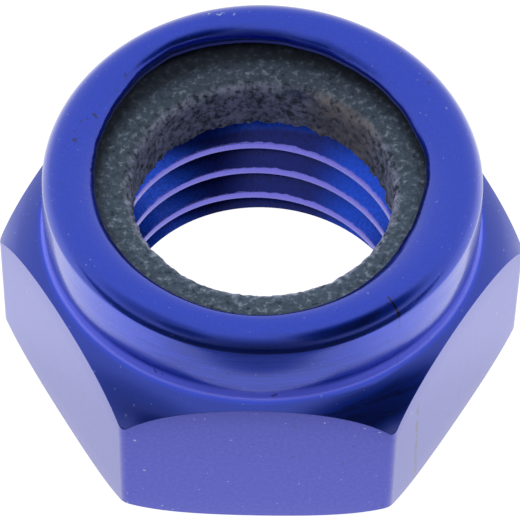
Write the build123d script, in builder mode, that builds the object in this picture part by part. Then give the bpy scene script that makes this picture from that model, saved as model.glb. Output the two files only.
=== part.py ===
from build123d import *
from math import sqrt
import os

# Prevailing-torque hex nut: a polymer locking ring is held in a collar that is
# rolled over it. Millimetres, +Z up. The origin is on the bore axis in the
# bearing face, and two corners of the hexagon lie on the X axis.

# ---- thread, metric fine -------------------------------------------------------
thread_diameter = 10.0       # nominal size of the bolt
thread_pitch = 1.25
countersink_diameter = 10.8  # mouth of the 90 degree countersink

# ---- hexagon -------------------------------------------------------------------
across_flats = 14.0
hex_height = 5.7             # bearing face to the ledge round the collar
edge_radius = 0.25           # rounding of the six upright edges
bearing_inset = 0.05         # the bearing face ends this far inside the flats
bottom_corner_drop = 0.6     # what the lower chamfer takes off a sharp corner
bottom_corner_radius = 2.1   # both chamfers are turned with a rounded tool
ledge_inset = 0.05           # and so does the ledge round the collar's foot
top_corner_drop = 1.35
top_corner_radius = 2.0

# ---- collar, rolled over the ring ----------------------------------------------
collar_inset = 0.37          # the wall stands this far inside the flats
collar_wall = 0.63
collar_foot_bevel = 0.12
nut_height = 8.5             # bearing face to the crown of the collar
shoulder_height = 1.4        # the wall turns inward over this height ...
shoulder_reach = 0.5         # ... and by this much, up to the crown
crown_radius = 0.35          # inner side of the crown ...
crown_angle = 35             # ... over this angle, in degrees, down to the lip
lip_cover = 0.88             # the lip reaches this far over the ring
lip_proud = 0.4              # and its edge stands this far above the ring's face

# ---- locking ring --------------------------------------------------------------
ring_bore = 7.9              # under the thread's crests, so the bolt cuts its way in
ring_thickness = 1.8
ring_mouth_radius = 0.4
seat_depth = 0.1             # how far the seat is sunk into the hexagon

# ---- worked out from the sizes above -------------------------------------------
minor_diameter = thread_diameter - 1.0825 * thread_pitch
corner_reach = across_flats / sqrt(3)
bearing_r = across_flats / 2 - bearing_inset
ledge_r = across_flats / 2 - ledge_inset
collar_r = across_flats / 2 - collar_inset
seat_r = collar_r - collar_wall
seat_z = hex_height - seat_depth
ring_top = seat_z + ring_thickness

# Top of the lip in section, with X as the radius: over the crown and down in a
# slack arc to the edge that stands over the ring.
lip_edge = Vector(seat_r - lip_cover, ring_top + lip_proud)
with BuildLine() as lip_top:
    over_crown = JernArc((collar_r - shoulder_reach, nut_height), tangent=(-1, 0),
                         radius=crown_radius, arc_size=crown_angle)
    TangentArc(over_crown @ 1, lip_edge, tangent=over_crown % 1)

# The lip is as thick as the wall. Its blunt end bites into the ring.
lip_along = (over_crown @ 1 - lip_edge).normalized()
lip_across = lip_along.rotate(Axis.Z, -90)
lip_heel = lip_edge + lip_across * collar_wall
lip_at_ring = lip_edge + lip_across * (lip_proud / -lip_across.Y)
fold = lip_heel + lip_along * ((seat_r - lip_heel.X) / lip_along.X)


def rims(part, radius):
    """Circular edges of one radius, the lowest first."""
    circles = part.edges().filter_by(GeomType.CIRCLE)
    return circles.filter_by(lambda edge: abs(edge.radius - radius) < 1e-4).sort_by(Axis.Z)


os.makedirs("parts", exist_ok=True)

# ---- nut body: hexagon, collar and lip in one piece ----------------------------
with BuildPart() as nut_body:
    # Hexagonal bar.
    with BuildSketch() as hexagon:
        RegularPolygon(radius=across_flats / 2, side_count=6, major_radius=False)
        fillet(hexagon.vertices(), radius=edge_radius)
    extrude(amount=hex_height)

    # A turned outline trims all the corners at once, which leaves the scalloped
    # edges at the top and the bottom of each flat.
    with BuildSketch(Plane.XZ):
        with BuildLine():
            lower = RadiusArc((bearing_r, 0), (corner_reach, bottom_corner_drop),
                              -bottom_corner_radius)
            upper = RadiusArc((corner_reach, hex_height - top_corner_drop),
                              (ledge_r, hex_height), -top_corner_radius)
            Line(lower @ 1, upper @ 0)
            Polyline(upper @ 1, (0, hex_height), (0, 0), lower @ 0)
        make_face()
    revolve(axis=Axis.Z, mode=Mode.INTERSECT)

    # Bore for the thread, with the seat of the ring above and a countersink below.
    with Locations((0, 0, hex_height)):
        CounterBoreHole(radius=minor_diameter / 2, counter_bore_radius=seat_r,
                        counter_bore_depth=seat_depth)
    chamfer(rims(nut_body, minor_diameter / 2)[0],
            length=(countersink_diameter - minor_diameter) / 2)

    # Section of the collar: upright wall, shoulder, crown and rolled lip.
    with BuildSketch(Plane.XZ):
        with BuildLine():
            wall = Line((collar_r, seat_z), (collar_r, nut_height - shoulder_height))
            EllipticalCenterArc((collar_r - shoulder_reach, nut_height - shoulder_height),
                                shoulder_reach, shoulder_height, start_angle=0, arc_size=90)
            add(lip_top.line)
            Polyline(lip_edge, lip_heel, fold, (seat_r, seat_z), wall @ 0)
        make_face()
    revolve(axis=Axis.Z)
    chamfer(rims(nut_body, collar_r)[0], length=collar_foot_bevel)

nut_body.part.label = "nut_body"
export_step(nut_body.part, "parts/nut_body.step")

# ---- locking ring: a polymer washer, pinched under the lip ----------------------
with BuildPart() as locking_ring:
    with BuildSketch(Plane.XZ):
        with BuildLine():
            Polyline((ring_bore / 2, seat_z), (seat_r, seat_z), fold, lip_heel, lip_at_ring,
                     (ring_bore / 2, ring_top), (ring_bore / 2, seat_z))
        make_face()
    revolve(axis=Axis.Z)
    fillet(rims(locking_ring, ring_bore / 2)[-1], radius=ring_mouth_radius)

locking_ring.part.label = "locking_ring"
export_step(locking_ring.part, "parts/locking_ring.step")
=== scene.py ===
"""Nylon insert lock nut: the anodised body with its thread, the locking ring and a plain stage."""

from math import atan2, cos, exp, pi, radians, sin, sqrt

import bpy
from bpy.props import FloatProperty, FloatVectorProperty, IntProperty, PointerProperty
from mathutils import Matrix, Vector, noise


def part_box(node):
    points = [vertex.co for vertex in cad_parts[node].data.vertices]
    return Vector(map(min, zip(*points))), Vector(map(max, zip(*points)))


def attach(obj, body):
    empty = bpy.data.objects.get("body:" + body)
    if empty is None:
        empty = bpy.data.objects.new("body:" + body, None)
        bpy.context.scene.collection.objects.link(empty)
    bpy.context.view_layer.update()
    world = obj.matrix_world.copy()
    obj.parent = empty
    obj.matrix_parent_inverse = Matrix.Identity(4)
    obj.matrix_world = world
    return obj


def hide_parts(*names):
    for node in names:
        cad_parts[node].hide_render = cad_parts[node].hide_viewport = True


bl_info = {
    "name": "Insert Lock Nut",
    "version": (1, 0, 0),
    "blender": (4, 5, 0),
    "location": "View3D > Sidebar > Lock Nut",
    "description": "Models an anodised lock nut with a rolled collar and a polymer locking ring",
    "category": "Add Mesh",
}

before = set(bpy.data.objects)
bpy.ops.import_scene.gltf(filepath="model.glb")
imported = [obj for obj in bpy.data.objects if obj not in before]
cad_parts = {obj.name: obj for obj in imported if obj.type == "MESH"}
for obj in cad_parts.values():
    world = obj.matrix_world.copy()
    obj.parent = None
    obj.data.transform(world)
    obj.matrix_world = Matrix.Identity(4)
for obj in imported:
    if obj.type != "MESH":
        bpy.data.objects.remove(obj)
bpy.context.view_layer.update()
BODY_LOW, BODY_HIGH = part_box("nut_body")
MM = 0.001
TURN = 2 * pi
MERGE = 1e-7                # vertices nearer than this, in metres, are one


# ---- sizes and colours ---------------------------------------------------------------

def length(name, description, millimetres):
    return FloatProperty(name=name, description=description, default=millimetres * MM,
                         unit="LENGTH", precision=5)


def angle(name, description, degrees):
    return FloatProperty(name=name, description=description, default=radians(degrees), subtype="ANGLE")


def colour(name, description, red, green, blue):
    return FloatVectorProperty(name=name, description=description, default=(red, green, blue, 1.0),
                               size=4, min=0.0, max=1.0, subtype="COLOR")


class NutSizes(bpy.types.PropertyGroup):
    across_flats: FloatProperty(
        name="Across flats", description="Distance between opposite flats",
        default=BODY_HIGH.y - BODY_LOW.y, unit="LENGTH", precision=5)
    hex_height: length("Hexagon height", "Bearing face to the ledge round the collar", 5.7)
    edge_radius: length("Edge radius", "Rounding of the upright edges", 0.3)
    flat_softness: length("Flat softness", "Rounding where a flat meets a chamfer", 0.004)
    edge_softness: length("Edge softness", "What is added to that rounding at a corner", 0.006)
    face_radius: length("Face radius", "Outer radius of the bearing face", 6.95)
    ledge_radius: length("Ledge radius", "Where the upper chamfer starts at the collar's foot", 6.72)
    bottom_drop: length("Bottom corner drop", "Height lost to the lower chamfer at a sharp corner", 0.6)
    bottom_round: length("Bottom chamfer radius", "Radius of the lower chamfer in section", 2.1)
    top_drop: length("Top corner drop", "Height lost to the upper chamfer at a sharp corner", 1.35)
    top_round: length("Top chamfer radius", "Radius of the upper chamfer in section", 3.0)
    collar_radius: length("Collar radius", "Outer radius of the upright wall", 6.65)
    foot: length("Foot", "Rounding at the foot of the collar", 0.06)
    wall: length("Wall", "Thickness of the collar and of its lip", 0.63)
    taper_height: length("Taper height", "Bearing face to where the wall starts to lean in", 6.95)
    taper: length("Taper", "How far the wall leans in below the shoulder", 0.035)
    lean: angle("Lean", "Slope of the wall where the shoulder begins", 3)
    spring_height: length("Spring height", "Bearing face to the foot of the shoulder", 7.82)
    spring_radius: length("Spring radius", "Tight round between the wall and the shoulder", 0.3)
    spring_angle: angle("Spring angle", "Where the tight round ends", 20)
    shoulder_radius: length("Shoulder radius", "Slack round of the shoulder", 1.0)
    shoulder_angle: angle("Shoulder angle", "Where the shoulder's round ends", 34)
    crown_radius: length("Crown radius", "Round over the shoulder up to the crown", 0.72)
    crown_lift: length("Crown lift", "How much higher the crown stands on the +Y side", 0.12)
    roll_radius: length("Roll radius", "Round from the crown inward", 1.1)
    roll_angle: angle("Roll angle", "Slope of the roll where the slack arc to the edge begins", 23)
    lip_radius: length("Lip radius", "Mean radius of the lip's edge", 5.12)
    lip_height: length("Lip height", "Bearing face to the lip's edge", 8.0)
    lip_end: length("Lip end", "Height of the blunt end of the lip", 0.24)
    lip_soft: length("Lip softness", "Rounding of the lip's edge", 0.06)
    lip_lean: angle("Lip lean", "How far the blunt end leans from upright", 14)
    lip_oval: length("Lip oval", "How far the rolled edge is out of round", 0.2)
    lip_drift: length("Lip drift", "How far the rolled edge is off centre", 0.10)
    seat_depth: length("Seat depth", "How far the ring's seat is sunk into the hexagon", 0.1)
    relief: length("Relief", "Bearing face to the relief over the thread, as wide as its roots", 5.05)
    bore_radius: length("Bore radius", "Radius of the thread's crests", 4.3234)
    tapping: length("Tapping allowance", "How much the blank's bore is under the crests", 0.35)
    thread_depth: length("Thread depth", "Crest to root", 0.6766)
    mouth_radius: length("Mouth radius", "Mouth of the countersink", 5.12)
    pitch: length("Pitch", "Advance of the thread in one turn", 1.25)
    crest_flat: length("Crest flat", "Width left on the thread's crests", 0.26)
    first_crest: length("First crest", "Height of a crest on the +Y side", 1.49)
    columns: IntProperty(name="Columns", description="Faces round the body", default=360, min=24)


class RingSizes(bpy.types.PropertyGroup):
    bore: length("Bore", "Inner radius of the ring", 3.95)
    top: length("Top", "Height of the ring's open face", 7.4)
    open_radius: length("Open radius", "Where the open face ends near the lip", 5.2)
    mouth: length("Mouth", "Rounding of the upper inner edge", 0.45)
    fit: length("Fit", "Gap between the ring and its seat", 0.004)
    fibres: length("Fibres", "Depth of the fine roughness", 0.03)
    lumps: length("Lumps", "Depth of the uneven wear", 0.10)
    rag: length("Rag", "Depth of the torn lower edge", 0.22)
    columns: IntProperty(name="Columns", description="Faces round the ring", default=480, min=24)


class NutColours(bpy.types.PropertyGroup):
    turned: colour("Turned", "Dyed aluminium, turned", 0.004, 0.036, 0.48)
    turned_light: colour("Turned, light", "Lighter grain of the turned metal", 0.012, 0.050, 0.52)
    wall: colour("Wall", "Dyed aluminium on the collar's wall", 0.008, 0.048, 0.62)
    chamfer: colour("Chamfer", "Dyed aluminium on the upper chamfer", 0.005, 0.032, 0.38)
    # Partly painted light: a matt colour, made light to lift the shade at the collar's foot and on the
    # lip's cut end.
    foot: colour("Foot", "Matt foot of the collar and cut end of its lip, painted light over their shade", 0.13, 0.17, 0.92)
    crack: colour("Crack", "Crack in the roll of the collar", 0.002, 0.004, 0.03)
    fleck: colour("Flecks", "Bright flecks on the crown", 0.34, 0.42, 0.66)
    speck: colour("Specks", "Bright specks on turned metal", 0.20, 0.26, 0.60)
    pit: colour("Pits", "Chips and pits in turned metal", 0.006, 0.012, 0.10)
    drawn: colour("Drawn", "Dyed aluminium, drawn flats", 0.036, 0.048, 0.50)
    drawn_light: colour("Drawn, light", "Lighter grain of the drawn flats", 0.07, 0.085, 0.56)
    drawn_speck: colour("Drawn, specks", "Bright specks on the flats", 0.55, 0.58, 0.75)
    drawn_pit: colour("Drawn, pits", "Pits in the flats", 0.02, 0.025, 0.20)
    scratch: colour("Scratch", "Scratch down one flat", 0.006, 0.006, 0.05)
    # Painted shade and painted light: the thread is coloured dark on its far flanks and light at its
    # sides.
    flank_painted_shade: colour("Thread", "Painted shade in the far side of the thread", 0.003, 0.010, 0.14)
    flank_painted_light: colour("Thread, sides", "Dyed aluminium in the thread, painted lighter at the sides", 0.008, 0.065, 0.62)
    # Painted highlight: the crests are coloured light for the reflection that they catch.
    crest: colour("Crests", "Painted highlight on the thread's crests", 0.16, 0.15, 0.66)
    polymer: colour("Polymer", "Face of the locking ring", 0.042, 0.063, 0.091)
    polymer_light: colour("Polymer, light", "Light fibres in the ring", 0.18, 0.222, 0.28)
    polymer_dark: colour("Polymer, dark", "Pits in the ring", 0.010, 0.017, 0.032)
    polymer_bore: colour("Polymer, bore", "Torn wall of the ring's bore", 0.24, 0.26, 0.37)
    polymer_tan: colour("Polymer, tan", "Browned part of the ring's bore", 0.20, 0.175, 0.155)
    polymer_smear: colour("Polymer, smear", "Dye rubbed onto the ring's bore", 0.02, 0.024, 0.10)
    # Painted shade: the colour of the ring where the lip shadows it.
    polymer_painted_shade: colour("Polymer, shade", "Painted shade on the ring under the lip", 0.004, 0.006, 0.012)
    floor: colour("Floor", "Table and background", 0.93, 0.93, 0.93)


class StageSizes(bpy.types.PropertyGroup):
    elevation: angle("Elevation", "Camera above the horizon", 52.77)
    roll: angle("Roll", "Camera about its own axis", 1.06)
    lift: angle("Lift", "Camera tipped up from its target", 0.271)
    distance: length("Distance", "Camera to its target", 112.1)
    target: length("Target", "Height that the camera looks at", 2.84)
    aside: length("Aside", "How far right of the bore axis the camera and its target stand", -0.03)
    focal: FloatProperty(name="Focal length", description="Lens of the camera, in millimetres",
                         default=249.5)
    floor_gap: length("Floor gap", "How far the floor lies under the bearing face", 0.02)
    back_light: FloatProperty(name="Back light", description="Strength of the soft lamp behind the nut",
                              default=2.6)
    back_tilt: angle("Back light tilt", "How far the lamp leans from straight down", 66)
    back_turn: angle("Back light turn", "How far the lamp is turned about the bore axis", 4)
    back_spread: angle("Back light spread", "How wide the lamp is in the sky", 50)


# ---- small tools ---------------------------------------------------------------------

def deselect():
    if bpy.context.object and bpy.context.object.mode != "OBJECT":
        bpy.ops.object.mode_set(mode="OBJECT")
    bpy.ops.object.select_all(action="DESELECT")


def arc(centre, radius, start, end, count):
    """Points of a round in section, as (radius, height)."""
    steps = [start + (end - start) * i / (count - 1) for i in range(count)]
    return [(centre[0] + radius * cos(a), centre[1] + radius * sin(a)) for a in steps]


def line(start, end, count):
    """Points of a straight in section, without its start."""
    return [tuple(Vector(start).lerp(Vector(end), i / count)) for i in range(1, count + 1)]


def bend(start, knee, end):
    """A soft turn from start to end that never reaches its knee."""
    steps = [i / 8 for i in range(9)]
    return [tuple((1 - u) ** 2 * start[k] + 2 * u * (1 - u) * knee[k] + u * u * end[k] for k in (0, 1))
            for u in steps]


def between(low, high, value):
    """0 below low, 1 above high and a soft step between them."""
    t = min(max((value - low) / (high - low), 0.0), 1.0)
    return t * t * (3 - 2 * t)


def turned(name, section, columns):
    """A closed section spun about the bore axis. Each vertex keeps the number of its ring."""
    deselect()
    bpy.ops.mesh.primitive_circle_add(vertices=len(section), radius=MM)
    piece = bpy.context.object
    piece.name = piece.data.name = name
    for vertex, (r, z) in zip(piece.data.vertices, section):
        vertex.co = (r, 0, z)
    ring = piece.data.attributes.new("ring", "INT", "POINT")
    ring.data.foreach_set("value", range(len(section)))
    bpy.ops.object.mode_set(mode="EDIT")
    bpy.ops.mesh.select_all(action="SELECT")
    bpy.ops.mesh.spin(steps=columns, angle=TURN, center=(0, 0, 0), axis=(0, 0, 1))
    bpy.ops.mesh.select_all(action="SELECT")
    bpy.ops.mesh.remove_doubles(threshold=MERGE)
    bpy.ops.mesh.normals_make_consistent(inside=False)
    bpy.ops.object.mode_set(mode="OBJECT")
    return piece


def rings_of(piece):
    """The number of its ring for each vertex of a turned piece."""
    ring = [0] * len(piece.data.vertices)
    piece.data.attributes["ring"].data.foreach_get("value", ring)
    return ring


def apply_modifier(piece, modifier):
    bpy.context.view_layer.objects.active = piece
    bpy.ops.object.modifier_apply(modifier=modifier.name)


def smooth(piece, degrees):
    """Smooth shading, with edges sharper than this angle kept."""
    deselect()
    piece.select_set(True)
    bpy.context.view_layer.objects.active = piece
    bpy.ops.object.shade_smooth_by_angle(angle=radians(degrees))


# ---- the nut's body ------------------------------------------------------------------

def height_on_round(start, end, radius, r):
    """Height at radius r of a flat that ends at start and then bows down to end."""
    if r <= start[0]:
        return start[1]
    chord = Vector(end) - Vector(start)
    out = Vector((-chord.y, chord.x)).normalized()
    middle = (Vector(start) + Vector(end)) / 2
    centre = middle - out * sqrt(radius ** 2 - (chord.length / 2) ** 2)
    return centre.y + sqrt(radius ** 2 - (r - centre.x) ** 2)


class BodySection:
    """The blank in section, before it is tapped, at any reach of the hexagon from the bore axis."""

    def __init__(self, nut):
        self.nut = nut
        self.sharp = nut.across_flats / sqrt(3)
        self.blank = nut.bore_radius - nut.tapping
        self.collar, self.lip = self.rolled_collar()
        self.known = {}

    def at(self, reach):
        """All the points, the same for reaches within a micron."""
        key = round(reach / (0.001 * MM))
        if key not in self.known:
            self.known[key] = self.underside() + self.skin(reach) + self.collar
        return self.known[key]

    def top(self, r):
        n = self.nut
        return height_on_round((n.ledge_radius, n.hex_height), (self.sharp, n.hex_height - n.top_drop),
                               n.top_round, r)

    def bottom(self, r):
        n = self.nut
        return -height_on_round((n.face_radius, 0.0), (self.sharp, -n.bottom_drop), n.bottom_round, r)

    def underside(self):
        """From the bore down the countersink, round its mouth and onto the bearing face."""
        blank, mouth = self.blank, self.nut.mouth_radius
        return [(blank, mouth - blank), ((blank + mouth) / 2, (mouth - blank) / 2),
                (mouth - 0.05 * MM, 0.05 * MM), (mouth + 0.02 * MM, 0.004 * MM),
                (mouth + 0.08 * MM, 0.0), (mouth + 0.5 * MM, 0.0)]

    def skin(self, reach):
        """Bearing face, lower chamfer, flat and upper chamfer, with soft edges to the flat."""
        n = self.nut
        flat = n.across_flats / 2
        corner = between(flat - 0.1 * MM, flat + 0.4 * MM, reach)
        soft = n.edge_softness * corner + n.flat_softness
        inner = n.collar_radius + n.foot + 0.01 * MM
        outer = reach - soft
        radii = [inner + (outer - inner) * i / 7 for i in range(7)]
        low, high = self.bottom(reach), self.top(reach)
        points = [(r, self.bottom(r)) for r in radii]
        points += bend((outer, self.bottom(outer)), (reach, low), (reach, low + soft))
        points += line((reach, low + soft), (reach, high - soft), 6)[:-1]
        points += bend((reach, high - soft), (reach, high), (outer, self.top(outer)))
        points += [(r, self.top(r)) for r in reversed(radii)]
        return points

    def rolled_collar(self):
        """Foot, wall, rounds, lip and seat, and the range of points that is the rolled lip."""
        n = self.nut
        x, z = n.collar_radius, n.hex_height
        points = [(x + n.foot, z), (x + 0.45 * n.foot, z + 0.10 * n.foot),
                  (x + 0.10 * n.foot, z + 0.45 * n.foot), (x, z + n.foot)]
        points += line(points[-1], (x, n.taper_height - 0.1 * MM), 5)
        points += line((x - 0.002 * MM, n.taper_height), (x - n.taper, n.spring_height), 5)

        # Four rounds, each tangent to the last. The fourth rolls inward and starts the lip.
        slope = n.lean
        for radius, end, count in ((n.spring_radius, n.spring_angle, 6),
                                   (n.shoulder_radius, n.shoulder_angle, 6),
                                   (n.crown_radius, pi / 2, 13),
                                   (n.roll_radius, pi / 2 + n.roll_angle, 9)):
            lip_start = len(points)
            centre = Vector(points[-1]) - radius * Vector((cos(slope), sin(slope)))
            points += arc(centre, radius, slope, end, count)[1:]
            slope = end

        # A slack arc to the lip's edge, which stops short of the edge's own rounding.
        edge = Vector((n.lip_radius, n.lip_height))
        chord = Vector(points[-1]) - edge
        sag = atan2(chord.y, chord.x) - n.roll_angle
        radius = chord.length / (2 * sin(sag))
        centre = Vector(points[-1]) - radius * Vector((cos(slope), sin(slope)))
        points += arc(centre, radius, slope, slope + 2 * sag, 13)[1:-3]

        # The blunt end, then the underside and the seat, which the ring fills.
        along = chord.normalized()
        down = Vector((sin(n.lip_lean), -cos(n.lip_lean)))
        soft = n.lip_soft
        points += [tuple(point) for point in (
            edge + along * soft * 0.8 - down * soft * 0.05,
            edge + along * soft * 0.2 + down * soft * 0.2,
            edge + down * soft,
            edge + down * n.lip_end * 0.5,
            edge + down * n.lip_end)]
        lip_end = len(points)
        crown = max(height for r, height in points)
        seat_x, seat_z = x - n.wall, z - n.seat_depth
        root = n.bore_radius + n.thread_depth
        points += [(seat_x, crown - n.wall), (seat_x, seat_z), (root + 0.05 * MM, seat_z),
                   (root, seat_z - 0.05 * MM), (root, n.relief),
                   (self.blank, n.relief - (root - self.blank))]
        return points, (lip_start, lip_end)


def reach_of_hexagon(nut, turn):
    """Distance from the axis to the hexagon's skin, with rounded upright edges."""
    off = abs((turn + pi / 6) % (pi / 3) - pi / 6)
    half = nut.across_flats / 2
    centre = (half - nut.edge_radius) / cos(pi / 6)
    along = centre + nut.edge_radius * cos(pi / 6)
    if off < atan2(nut.edge_radius * sin(pi / 6), along):
        return centre * cos(off) + sqrt(max(nut.edge_radius ** 2 - (centre * sin(off)) ** 2, 0))
    return half / cos(pi / 6 - off)


# Where the rolled edge runs out (or in, if negative): azimuth and half width in degrees,
# distance in millimetres, as the crimping left it.
LIP_WAVES = ((124, 18, 0.17), (62, 26, -0.12), (5, 12, 0.10), (-30, 24, -0.09), (-94, 20, 0.27))
# Fine unevenness of the edge: distance in millimetres, how often it changes, and where the
# noise is read.
LIP_RIPPLES = ((0.025, 7, 2.0), (0.014, 30, 5.0))
# Points of the section over which the wander grows to its full size.
LIP_FADE = 20
# How strongly the columns crowd towards the hexagon's corners, from 0 to 1.
CROWDING = 0.70


def lip_wander(nut, turn):
    """How far the rolled edge strays from its mean radius at one place round the nut."""
    out = -nut.lip_oval * cos(2 * turn) - nut.lip_drift * cos(turn)
    for place, width, distance in LIP_WAVES:
        out += distance * MM * exp(-((turn - radians(place)) / radians(width)) ** 2)
    for distance, often, layer in LIP_RIPPLES:
        out += distance * MM * noise.noise(Vector((cos(turn) * often, sin(turn) * often, layer)))
    return out


def shape_body(piece, nut, section):
    """Brings the turned blank's rings onto the hexagon and lets the rolled lip wander."""
    first = len(section.at(section.sharp)) - len(section.collar)
    lip_start, lip_end = (first + k for k in section.lip)
    for vertex, k in zip(piece.data.vertices, rings_of(piece)):
        turn = atan2(vertex.co.y, vertex.co.x)
        turn -= CROWDING / 6 * sin(6 * turn)
        r, z = section.at(reach_of_hexagon(nut, turn))[k]
        if lip_start <= k < lip_end:
            share = min((k - lip_start + 1) / LIP_FADE, 1.0)
            r += lip_wander(nut, turn) * share ** 1.5
        if z > nut.spring_height:
            lifted = between(nut.spring_height, nut.spring_height + 0.28 * MM, z)
            lifted *= between(nut.lip_radius + 0.18 * MM, nut.lip_radius + 0.88 * MM, r)
            z += nut.crown_lift * lifted * max(sin(turn), 0) ** 2
        vertex.co = (r * cos(turn), r * sin(turn), z)


def make_tap(nut):
    """A tap: one pitch of thread in section, wound up through the bore and closed at its ends."""
    deselect()
    p, soft, flat = nut.pitch, 0.03 * nut.pitch, nut.crest_flat / 2
    crest, root = nut.bore_radius, nut.bore_radius + nut.thread_depth
    flank_end = p / 2 - p / 16      # the roots are flat over an eighth of the pitch
    half = [(crest, 0.0), (crest, flat - soft), (crest + 0.25 * soft, flat),
            (crest + 1.2 * soft, flat + 0.7 * soft), (root - soft, flank_end - 0.6 * soft),
            (root, flank_end + 0.4 * soft)]
    profile = half + [(r, p - z) for r, z in reversed(half)]
    bpy.ops.mesh.primitive_circle_add(vertices=len(profile), radius=MM)
    tap = bpy.context.object
    tap.name = "tap"
    start = nut.first_crest - 3.25 * p      # the quarter brings the crest round to the +Y side
    for vertex, (r, z) in zip(tap.data.vertices, profile):
        vertex.co = (r, 0, start + z)
    bpy.ops.object.mode_set(mode="EDIT")
    bpy.ops.mesh.select_all(action="DESELECT")
    bpy.ops.object.mode_set(mode="OBJECT")
    for edge in tap.data.edges:
        edge.select = set(edge.vertices) == {0, len(profile) - 1}
    bpy.ops.object.mode_set(mode="EDIT")
    bpy.ops.mesh.select_mode(type="EDGE")
    bpy.ops.mesh.delete(type="EDGE_FACE")
    bpy.ops.object.mode_set(mode="OBJECT")
    screw = tap.modifiers.new("wind", "SCREW")
    screw.axis = "Z"
    screw.angle = TURN
    screw.screw_offset = p
    screw.use_merge_vertices = True
    screw.merge_threshold = MERGE
    screw.iterations = 7
    screw.steps = screw.render_steps = 160
    apply_modifier(tap, screw)
    bpy.ops.object.mode_set(mode="EDIT")
    bpy.ops.mesh.select_mode(type="VERT")
    bpy.ops.mesh.select_all(action="SELECT")
    bpy.ops.mesh.remove_doubles(threshold=MERGE)
    # Flat ends: the lower in the countersink, the upper in the ring's seat.
    for height, way in ((0.2 * MM, -1), (nut.hex_height + 0.5 * MM, 1)):
        bpy.ops.mesh.select_all(action="SELECT")
        bpy.ops.mesh.bisect(plane_co=(0, 0, height), plane_no=(0, 0, way), use_fill=True,
                            clear_outer=True, threshold=1e-8)
    bpy.ops.mesh.select_all(action="SELECT")
    bpy.ops.mesh.normals_make_consistent(inside=False)
    bpy.ops.object.mode_set(mode="OBJECT")
    return tap


class MESH_OT_nut_body(bpy.types.Operator):
    """Turn, mill and tap the aluminium body"""
    bl_idname = "mesh.nut_body"
    bl_label = "Nut Body"

    def execute(self, context):
        nut, colours = context.scene.nut_sizes, context.scene.nut_colours
        section = BodySection(nut)
        body = turned("anodised_body", section.at(section.sharp), nut.columns)
        shape_body(body, nut, section)

        # The upright faces outside the collar are the drawn flats. All the others are turned.
        body.data.materials.append(turned_finish(colours, nut))
        body.data.materials.append(drawn_finish(colours))
        for face in body.data.polygons:
            upright = abs(face.normal.z) < 0.35
            face.material_index = int(upright and face.center.xy.length > nut.face_radius - 0.1 * MM)

        tap = make_tap(nut)
        cut = body.modifiers.new("thread", "BOOLEAN")
        cut.operation = "DIFFERENCE"
        cut.solver = "EXACT"
        cut.object = tap
        apply_modifier(body, cut)
        bpy.data.objects.remove(tap)
        body.data.materials.append(thread_finish(colours, nut))
        for face in body.data.polygons:
            out = face.center.xy.length - nut.bore_radius - nut.thread_depth
            if out < 0.1 * MM and face.center.z < nut.hex_height:
                face.material_index = 2
        smooth(body, 38)
        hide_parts("nut_body")
        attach(body, "root")
        return {"FINISHED"}


# ---- the locking ring ----------------------------------------------------------------

def roughen(piece, name, grain, depth, weight):
    """Displaces the vertices along their normals by a cloud texture. Weight runs from 0 to 1."""
    group = piece.vertex_groups.new(name=name)
    for vertex in piece.data.vertices:
        group.add([vertex.index], weight(vertex.co), "REPLACE")
    cloud = bpy.data.textures.new(name, "CLOUDS")
    cloud.noise_scale = grain
    cloud.noise_depth = 3
    displace = piece.modifiers.new(name, "DISPLACE")
    displace.texture = cloud
    displace.texture_coords = "LOCAL"
    displace.vertex_group = name
    displace.mid_level = 0.5
    displace.strength = depth
    apply_modifier(piece, displace)


class MESH_OT_locking_ring(bpy.types.Operator):
    """Mould the polymer ring in its seat and wear it"""
    bl_idname = "mesh.locking_ring"
    bl_label = "Locking Ring"

    def execute(self, context):
        nut, ring = context.scene.nut_sizes, context.scene.ring_sizes
        seat_x = nut.collar_radius - nut.wall - ring.fit
        seat_z = nut.hex_height - nut.seat_depth + ring.fit
        spring = (ring.bore, ring.top - ring.mouth)

        # Up the bore, round its mouth, out over the open face, up a little under the lip, and back.
        section = [(ring.bore, seat_z + 0.04 * MM)]
        section += line(section[0], spring, 22)[:-1]
        section += arc((ring.bore + ring.mouth, spring[1]), ring.mouth, pi, pi / 2, 12)
        section += line(section[-1], (ring.open_radius, ring.top), 16)
        section += line(section[-1], (ring.open_radius + 0.4 * MM, ring.top + 0.06 * MM), 5)
        section += [(seat_x - 0.05 * MM, ring.top - 0.1 * MM), (seat_x, ring.top - 0.2 * MM),
                    (seat_x, seat_z), (ring.bore + 0.5 * MM, seat_z), (ring.bore + 0.05 * MM, seat_z)]
        piece = turned("polymer_ring", section, ring.columns)

        def open_face(co):
            return 1 - between(ring.open_radius, ring.open_radius + 0.3 * MM, co.xy.length)

        def bore(co):
            return 1 - between(ring.bore + 0.1 * MM, ring.bore + 0.55 * MM, co.xy.length)

        def lower_edge(co):
            return bore(co) * (1 - between(seat_z, seat_z + 0.45 * MM, co.z))

        # Coarse before fine, and the torn edge last.
        roughen(piece, "lumps", 0.8 * MM, ring.lumps, open_face)
        roughen(piece, "gouges", 0.3 * MM, ring.lumps, bore)
        roughen(piece, "fibres", 0.11 * MM, ring.fibres, open_face)
        roughen(piece, "rag", 0.22 * MM, ring.rag, lower_edge)
        smooth(piece, 60)
        piece.data.materials.append(polymer_finish(context.scene.nut_colours, nut, ring))
        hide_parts("locking_ring")
        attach(piece, "root")
        return {"FINISHED"}


# ---- finishes ------------------------------------------------------------------------

# Wear, in millimetres: start, end and width of each mark. A mark that is seen from above
# has no height.
CRACK = ((3.72, -4.88, 0), (4.12, -5.27, 0), 0.06)
FLECKS = ((-1.9, 5.85, 0), (-0.75, 5.78, 0), 0.12)
CHIPS = ((-5.75, 0.8, 0), (-4.0, 4.1, 0), 0.35)
SCRATCH = ((4.77, -5.75, 4.3), (4.85, -5.62, 0.2), 0.13)
SMEAR = ((0.75, 4.0, 7.1), (1.6, 3.78, 7.0), 0.28)


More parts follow.
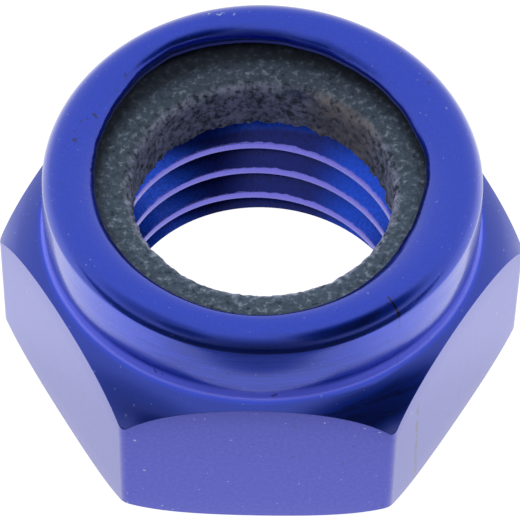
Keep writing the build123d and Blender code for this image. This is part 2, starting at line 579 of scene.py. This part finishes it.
class Nodes:
    """Short names for making and linking the nodes of one tree."""

    def __init__(self, tree):
        self.nodes = tree.nodes
        self.links = tree.links

    def link(self, value, socket):
        """Links an output to the socket, or sets the socket to a constant."""
        if isinstance(value, bpy.types.NodeSocket):
            self.links.new(value, socket)
        else:
            socket.default_value = value

    def maths(self, operation, first, second=0.0):
        node = self.nodes.new("ShaderNodeMath")
        node.operation = operation
        self.link(first, node.inputs[0])
        self.link(second, node.inputs[1])
        return node.outputs[0]

    def product(self, first, *others):
        for other in others:
            first = self.maths("MULTIPLY", first, other)
        return first

    def vector(self, operation, first, second, output="Vector"):
        node = self.nodes.new("ShaderNodeVectorMath")
        node.operation = operation
        self.link(first, node.inputs[0])
        self.link(second, node.inputs[1])
        return node.outputs[output]

    def step(self, value, low, high, to_low=0.0, to_high=1.0, fading="SMOOTHSTEP"):
        """Goes from to_low to to_high while the value goes from low to high."""
        node = self.nodes.new("ShaderNodeMapRange")
        node.interpolation_type = fading
        self.link(value, node.inputs["Value"])
        for socket, number in (("From Min", low), ("From Max", high),
                               ("To Min", to_low), ("To Max", to_high)):
            node.inputs[socket].default_value = number
        return node.outputs["Result"]

    def blend(self, share, first, second):
        """Mixes two shaders."""
        node = self.nodes.new("ShaderNodeMixShader")
        for value, socket in zip((share, first, second), node.inputs):
            self.link(value, socket)
        return node.outputs[0]


class Finish(Nodes):
    """A material under construction. Its places are the object's own, in metres."""

    def __init__(self, name):
        self.material = bpy.data.materials.new(name)
        self.material.use_nodes = True
        super().__init__(self.material.node_tree)
        self.shader = self.nodes["Principled BSDF"]
        self.place = self.nodes.new("ShaderNodeTexCoord").outputs["Object"]

    def noise(self, scale, detail, place=None, roughness=0.5):
        node = self.nodes.new("ShaderNodeTexNoise")
        self.link(place or self.place, node.inputs["Vector"])
        node.inputs["Scale"].default_value = scale
        node.inputs["Detail"].default_value = detail
        node.inputs["Roughness"].default_value = roughness
        return node.outputs["Fac"]

    def mix(self, share, first, second):
        node = self.nodes.new("ShaderNodeMix")
        node.data_type = "RGBA"
        self.link(share, node.inputs[0])
        self.link(first, node.inputs[6])
        self.link(second, node.inputs[7])
        return node.outputs[2]

    def bump(self, height, distance):
        node = self.nodes.new("ShaderNodeBump")
        node.inputs["Strength"].default_value = 1.0
        node.inputs["Distance"].default_value = distance
        self.link(height, node.inputs["Height"])
        self.link(node.outputs["Normal"], self.shader.inputs["Normal"])

    def set(self, **values):
        """Sets the shader's sockets, named like base_color for Base Color."""
        for name, value in values.items():
            self.link(value, self.shader.inputs[name.replace("_", " ").title()])

    def mark(self, start, end, width, flat=False):
        """1 on a wavering line from start to end, in millimetres. A flat one is seen from above."""
        start, way = Vector(start) * MM, (Vector(end) - Vector(start)) * MM
        width = width * MM
        place = self.vector("MULTIPLY", self.place, (1, 1, 0)) if flat else self.place
        off = self.vector("SUBTRACT", place, start)
        share = self.maths("DIVIDE", self.vector("DOT_PRODUCT", off, way, "Value"), way.length_squared)
        share = self.maths("MINIMUM", self.maths("MAXIMUM", share, 0.0), 1.0)
        away = self.vector("DISTANCE", off, self.vector("MULTIPLY", share, way), "Value")
        waver = self.product(self.noise(2500, 2.0), width)
        return self.step(self.maths("ADD", away, waver), width * 1.2, width * 0.7)

    def parts(self):
        """The place in x, y and z."""
        node = self.nodes.new("ShaderNodeSeparateXYZ")
        self.link(self.place, node.inputs[0])
        return node.outputs

    def around(self):
        """Radius from the bore axis, height and turn."""
        x, y, z = self.parts()
        squares = self.maths("ADD", self.product(x, x), self.product(y, y))
        return self.maths("SQRT", squares), z, self.maths("ARCTAN2", y, x)


def turned_finish(colours, nut):
    """Satin dyed metal with faint marks of the tool that run round it, and its wear."""
    f = Finish("anodised turned aluminium")
    radius, height, turn = f.around()
    marks = f.nodes.new("ShaderNodeCombineXYZ")
    for value, socket in zip((radius, height, f.product(turn, 0.6 * MM)), marks.inputs):
        f.link(value, socket)
    streaks = f.noise(9000, 2.0, marks.outputs[0])
    grain = f.noise(12000, 2.0)

    # Tones of the wall, the chamfer, the foot of the collar and the cut end of the lip. The foot and
    # the cut end are matt, and their light colour is also painted light over the shade in the crease at
    # the foot and at the lip's end.
    dyed = f.mix(f.step(grain, 0.35, 0.75, 0.0, 0.5), colours.turned, colours.turned_light)
    wall = f.step(height, nut.spring_height + 0.13 * MM, nut.spring_height - 0.02 * MM)
    dyed = f.mix(wall, dyed, colours.wall)
    chamfer = f.step(radius, nut.ledge_radius - 0.02 * MM, nut.ledge_radius + 0.18 * MM)
    dyed = f.mix(chamfer, dyed, colours.chamfer)
    foot = f.product(f.step(height, nut.hex_height + 0.50 * MM, nut.hex_height + 0.22 * MM),
                     f.step(radius, nut.collar_radius + 0.11 * MM, nut.collar_radius + 0.05 * MM))
    cut_end = f.product(f.step(height, nut.lip_height - 0.02 * MM, nut.lip_height - 0.10 * MM),
                        f.step(radius, nut.lip_radius + 0.88 * MM, nut.lip_radius + 0.68 * MM))
    matt = f.maths("MAXIMUM", foot, cut_end)
    dyed = f.mix(matt, dyed, colours.foot)

    # Wear: a crack over the roll, flecks and chips in places, specks and pits everywhere.
    down_the_roll = f.step(height, nut.lip_height - 0.7 * MM, nut.lip_height, 0.12, 1.0)
    dyed = f.mix(f.product(f.mark(*CRACK, flat=True), down_the_roll), dyed, colours.crack)
    flecks = f.product(f.mark(*FLECKS, flat=True), f.step(f.noise(4800, 2.0), 0.53, 0.60, 0.0, 0.85))
    dyed = f.mix(flecks, dyed, colours.fleck)
    chips = f.product(f.mark(*CHIPS, flat=True), f.step(f.noise(4200, 3.0), 0.385, 0.35, 0.0, 0.8))
    dyed = f.mix(chips, dyed, colours.pit)
    dyed = f.mix(f.step(f.noise(7500, 1.0), 0.75, 0.78, 0.0, 0.6), dyed, colours.speck)
    dyed = f.mix(f.step(f.noise(3100, 2.0), 0.265, 0.24, 0.0, 0.7), dyed, colours.pit)

    rough = f.maths("ADD", f.step(streaks, 0.3, 0.7, 0.24, 0.34), f.product(matt, 0.16))
    metal = f.maths("SUBTRACT", 1.0, f.product(matt, 0.55))
    f.set(base_color=dyed, metallic=metal, roughness=rough, coat_weight=1.0, coat_roughness=0.13)
    f.bump(f.maths("ADD", f.product(streaks, 0.6), f.product(grain, 0.3)), 0.003 * MM)
    return f.material


def drawn_finish(colours):
    """Duller dyed metal, finely speckled, with pits and one long scratch."""
    f = Finish("anodised drawn aluminium")
    grain = f.noise(9000, 4.0)
    dyed = f.mix(f.step(grain, 0.35, 0.7, 0.0, 0.6), colours.drawn, colours.drawn_light)
    scratch = f.product(f.mark(*SCRATCH), f.step(f.noise(3500, 3.0), 0.40, 0.54, 0.0, 0.9))
    dyed = f.mix(scratch, dyed, colours.scratch)
    dyed = f.mix(f.step(f.noise(3300, 2.0), 0.29, 0.25, 0.0, 0.55), dyed, colours.drawn_pit)
    dyed = f.mix(f.step(f.noise(6500, 1.0), 0.77, 0.79, 0.0, 0.6), dyed, colours.drawn_speck)
    f.set(base_color=dyed, metallic=1.0, roughness=0.33, coat_weight=1.0, coat_roughness=0.3)
    f.bump(grain, 0.004 * MM)
    return f.material


def thread_finish(colours, nut):
    """Painted shade on the thread's far flanks, painted light at its sides and a painted highlight on
    its crests.
    """
    f = Finish("anodised tapped aluminium")
    radius, height, turn = f.around()
    grain = f.noise(9000, 3.0)
    # Painted highlight: a light colour on the crests stands in for the reflection that they catch.
    ragged = f.product(f.maths("SUBTRACT", f.noise(3200, 2.0), 0.45), 0.10 * MM)
    crest = f.step(f.maths("ADD", radius, ragged),
                   nut.bore_radius + 0.05 * MM, nut.bore_radius + 0.02 * MM)

    # Painted light and shade on the flanks: lighter at the sides and on the cone under the relief, and
    # darker close under the ring from the far side round to the left.
    sides = f.step(f.maths("ABSOLUTE", f.maths("SUBTRACT", turn, pi / 2)), radians(18), radians(40))
    cone = f.product(f.step(height, nut.relief - 0.75 * MM, nut.relief - 0.60 * MM),
                     f.step(height, nut.relief - 0.10 * MM, nut.relief - 0.25 * MM, 0.0, 0.8))
    painted_shade_under_ring = f.product(f.step(height, nut.relief - 0.15 * MM, nut.relief + 0.05 * MM),
                           f.step(turn, radians(45), radians(65)))
    painted_light_share = f.product(f.maths("MAXIMUM", sides, cone), f.maths("SUBTRACT", 1.0, painted_shade_under_ring))
    flank_painted_shade = f.mix(painted_light_share, colours.flank_painted_shade, colours.flank_painted_light)
    f.set(base_color=f.mix(crest, flank_painted_shade, colours.crest), metallic=1.0,
          roughness=f.step(grain, 0.3, 0.7, 0.22, 0.34), coat_weight=0.3, coat_roughness=0.15)
    f.bump(grain, 0.004 * MM)
    return f.material


def polymer_finish(colours, nut, ring):
    """Mottled fibrous polymer, browner and torn in the bore, with painted shade under the lip."""
    f = Finish("rough locking polymer")
    radius, _, turn = f.around()
    fibres = f.noise(4600, 4.0, roughness=0.7)
    face = f.mix(f.step(fibres, 0.50, 0.72), colours.polymer, colours.polymer_light)
    face = f.mix(f.step(fibres, 0.46, 0.30), face, colours.polymer_dark)

    # The torn wall of the bore, brown on the right, with some of the body's dye rubbed in.
    worn = f.mix(f.step(fibres, 0.34, 0.60), colours.polymer_dark, colours.polymer_bore)
    right = f.maths("ABSOLUTE", f.maths("SUBTRACT", turn, radians(50)))
    tan = f.product(f.step(right, radians(26), radians(10)), f.step(fibres, 0.36, 0.6, 0.2, 0.85))
    worn = f.mix(tan, worn, colours.polymer_tan)
    worn = f.mix(f.product(f.mark(*SMEAR), 0.8), worn, colours.polymer_smear)
    inside = f.product(f.step(radius, ring.bore + 0.30 * MM, ring.bore + 0.07 * MM),
                       f.step(f.noise(1600, 3.0), 0.35, 0.6, 0.55, 1.0))
    body = f.mix(inside, face, worn)

    # Painted shade: the ring's face darkens towards the lip, where the lip's shadow falls.
    painted_shade_under_lip = f.step(radius, nut.lip_radius - 0.47 * MM, nut.lip_radius + 0.03 * MM, 0.0, 0.72)
    f.set(base_color=f.mix(painted_shade_under_lip, body, colours.polymer_painted_shade), roughness=0.8)
    f.shader.inputs["Specular IOR Level"].default_value = 0.35
    f.bump(fibres, 0.04 * MM)
    return f.material


# ---- stage ---------------------------------------------------------------------------

# How the metal sees the floor darken in front of the nut, in millimetres from the bore
# axis: where it starts, where it ends and what is left.
FLOOR_FADES = ((11.8, 12.6, 0.12), (15, 26, 0.5), (30, 90, 0.35))
# The same towards both sides, where it brightens a little.
FLOOR_SIDES = (7, 9, 1.16)
# A dark spot on that floor: its place, its core, its edge and what is left in the core.
FLOOR_SPOT = ((7.5, -17, 0), 2.5, 6, 0.25)
FLOOR_SEEN = 1.15           # brightness of the glow that the camera sees ...
FLOOR_SHARE = 0.88          # ... and its share. The rest is the lit floor with the shadow.

# Dark parts of the room: direction, angle of full dark, angle where it ends, what is left of
# the light, and how it fades.
DARK_PARTS = (
    ((0.02, -0.999, 0.04), 4, 50, 0.16, "LINEAR"),
    ((0.62, -0.56, 0.55), 18, 34, 0.04, "SMOOTHSTEP"),
    ((0.48, -0.80, 0.36), 6, 20, 0.07, "SMOOTHSTEP"),
    ((-0.52, -0.77, 0.36), 5, 20, 0.10, "SMOOTHSTEP"),
    ((-0.66, -0.58, 0.48), 8, 30, 0.45, "SMOOTHSTEP"),
)


def floor_finish(colours):
    """Pale matt floor that the camera sees as white and the metal sees darken to the front."""
    f = Finish("pale floor")
    f.set(base_color=colours.floor, roughness=0.9)
    across, back, _ = f.parts()
    ahead = f.maths("MULTIPLY", back, -1.0)
    start, end, left = FLOOR_SIDES
    mirrored = f.step(f.maths("ABSOLUTE", across), start * MM, end * MM, 1.0, left)
    for start, end, left in FLOOR_FADES:
        mirrored = f.product(mirrored, f.step(ahead, start * MM, end * MM, 1.0, left))
    spot, core, edge, left = FLOOR_SPOT
    away = f.vector("DISTANCE", f.place, Vector(spot) * MM, "Value")
    mirrored = f.product(mirrored, f.step(away, core * MM, edge * MM, left, 1.0))

    path = f.nodes.new("ShaderNodeLightPath").outputs
    glow = f.nodes.new("ShaderNodeEmission")
    strength = f.maths("ADD", f.product(path["Is Camera Ray"], FLOOR_SEEN),
                       f.product(path["Is Glossy Ray"], mirrored))
    f.link(strength, glow.inputs["Strength"])
    share = f.maths("MAXIMUM", f.product(path["Is Camera Ray"], FLOOR_SHARE), path["Is Glossy Ray"])
    surface = f.blend(share, f.shader.outputs[0], glow.outputs[0])
    f.link(surface, f.nodes["Material Output"].inputs["Surface"])
    return f.material


def studio_room(world):
    """A white room with dark parts in front. Light that was mirrored twice finds none of them."""
    world.use_nodes = True
    w = Nodes(world.node_tree)
    w.nodes.clear()
    place = w.nodes.new("ShaderNodeTexCoord").outputs["Generated"]
    path = w.nodes.new("ShaderNodeLightPath").outputs
    lit = 1.0
    for way, inner, outer, left, fading in DARK_PARTS:
        toward = w.vector("DOT_PRODUCT", place, Vector(way).normalized(), "Value")
        fade = w.step(toward, cos(radians(outer)), cos(radians(inner)), 1.0, left, fading)
        lit = w.maths("MINIMUM", lit, fade)
    again = w.maths("GREATER_THAN", path["Glossy Depth"], 1.5)
    room, white = w.nodes.new("ShaderNodeBackground"), w.nodes.new("ShaderNodeBackground")
    room.inputs["Color"].default_value = white.inputs["Color"].default_value = (1, 1, 1, 1)
    w.link(w.maths("MAXIMUM", again, lit), room.inputs["Strength"])
    surface = w.blend(path["Is Camera Ray"], room.outputs[0], white.outputs[0])
    w.link(surface, w.nodes.new("ShaderNodeOutputWorld").inputs["Surface"])


class SCENE_OT_nut_stage(bpy.types.Operator):
    """Lay the floor, light the room and set the camera"""
    bl_idname = "scene.nut_stage"
    bl_label = "Stage"

    def execute(self, context):
        scene, stage = context.scene, context.scene.stage_sizes
        deselect()
        bpy.ops.mesh.primitive_plane_add(size=1.2, location=(0, 0, -stage.floor_gap))
        floor = context.object
        floor.name = floor.data.name = "floor"
        bpy.ops.object.transform_apply(location=True, rotation=False, scale=False)
        floor.data.materials.append(floor_finish(scene.nut_colours))

        target = Vector((stage.aside, 0, stage.target))
        eye = target + stage.distance * Vector((0, -cos(stage.elevation), sin(stage.elevation)))
        bpy.ops.object.camera_add(location=eye)
        camera = context.object
        camera.name = "camera"
        tilt = Matrix.Rotation(pi / 2 - stage.elevation + stage.lift, 4, "X")
        camera.matrix_world = Matrix.Translation(eye) @ tilt @ Matrix.Rotation(stage.roll, 4, "Z")
        camera.data.lens = stage.focal
        camera.data.sensor_width = 36
        camera.data.clip_start = 0.005
        camera.data.clip_end = 5
        scene.camera = camera

        bpy.ops.object.light_add(type="SUN", rotation=(-stage.back_tilt, 0, stage.back_turn))
        lamp = context.object
        lamp.name = "back light"
        lamp.data.energy = stage.back_light
        lamp.data.angle = stage.back_spread
        lamp.visible_glossy = False
        scene.view_settings.view_transform = "Standard"
        scene.world = scene.world or bpy.data.worlds.new("studio")
        studio_room(scene.world)
        return {"FINISHED"}


# ---- panel and registration ----------------------------------------------------------

class VIEW3D_PT_lock_nut(bpy.types.Panel):
    """Sizes, colours and steps of the lock nut"""
    bl_idname = "VIEW3D_PT_lock_nut"
    bl_label = "Lock Nut"
    bl_space_type = "VIEW_3D"
    bl_region_type = "UI"
    bl_category = "Lock Nut"

    def draw(self, context):
        for group in GROUPS:
            column = self.layout.column(align=True)
            settings = getattr(context.scene, group)
            for key in settings.__annotations__:
                column.prop(settings, key)
        for operator in OPERATORS:
            self.layout.operator(operator.bl_idname)


OPERATORS = (SCENE_OT_nut_stage, MESH_OT_nut_body, MESH_OT_locking_ring)
GROUPS = {"nut_sizes": NutSizes, "ring_sizes": RingSizes, "nut_colours": NutColours,
          "stage_sizes": StageSizes}
CLASSES = (*GROUPS.values(), *OPERATORS, VIEW3D_PT_lock_nut)


def register():
    for cls in CLASSES:
        bpy.utils.register_class(cls)
    for name, cls in GROUPS.items():
        setattr(bpy.types.Scene, name, PointerProperty(type=cls))


def unregister():
    for name in GROUPS:
        delattr(bpy.types.Scene, name)
    for cls in reversed(CLASSES):
        bpy.utils.unregister_class(cls)


def main():
    register()
    bpy.ops.scene.nut_stage()
    bpy.ops.mesh.nut_body()
    bpy.ops.mesh.locking_ring()


if __name__ == "__main__":
    main()
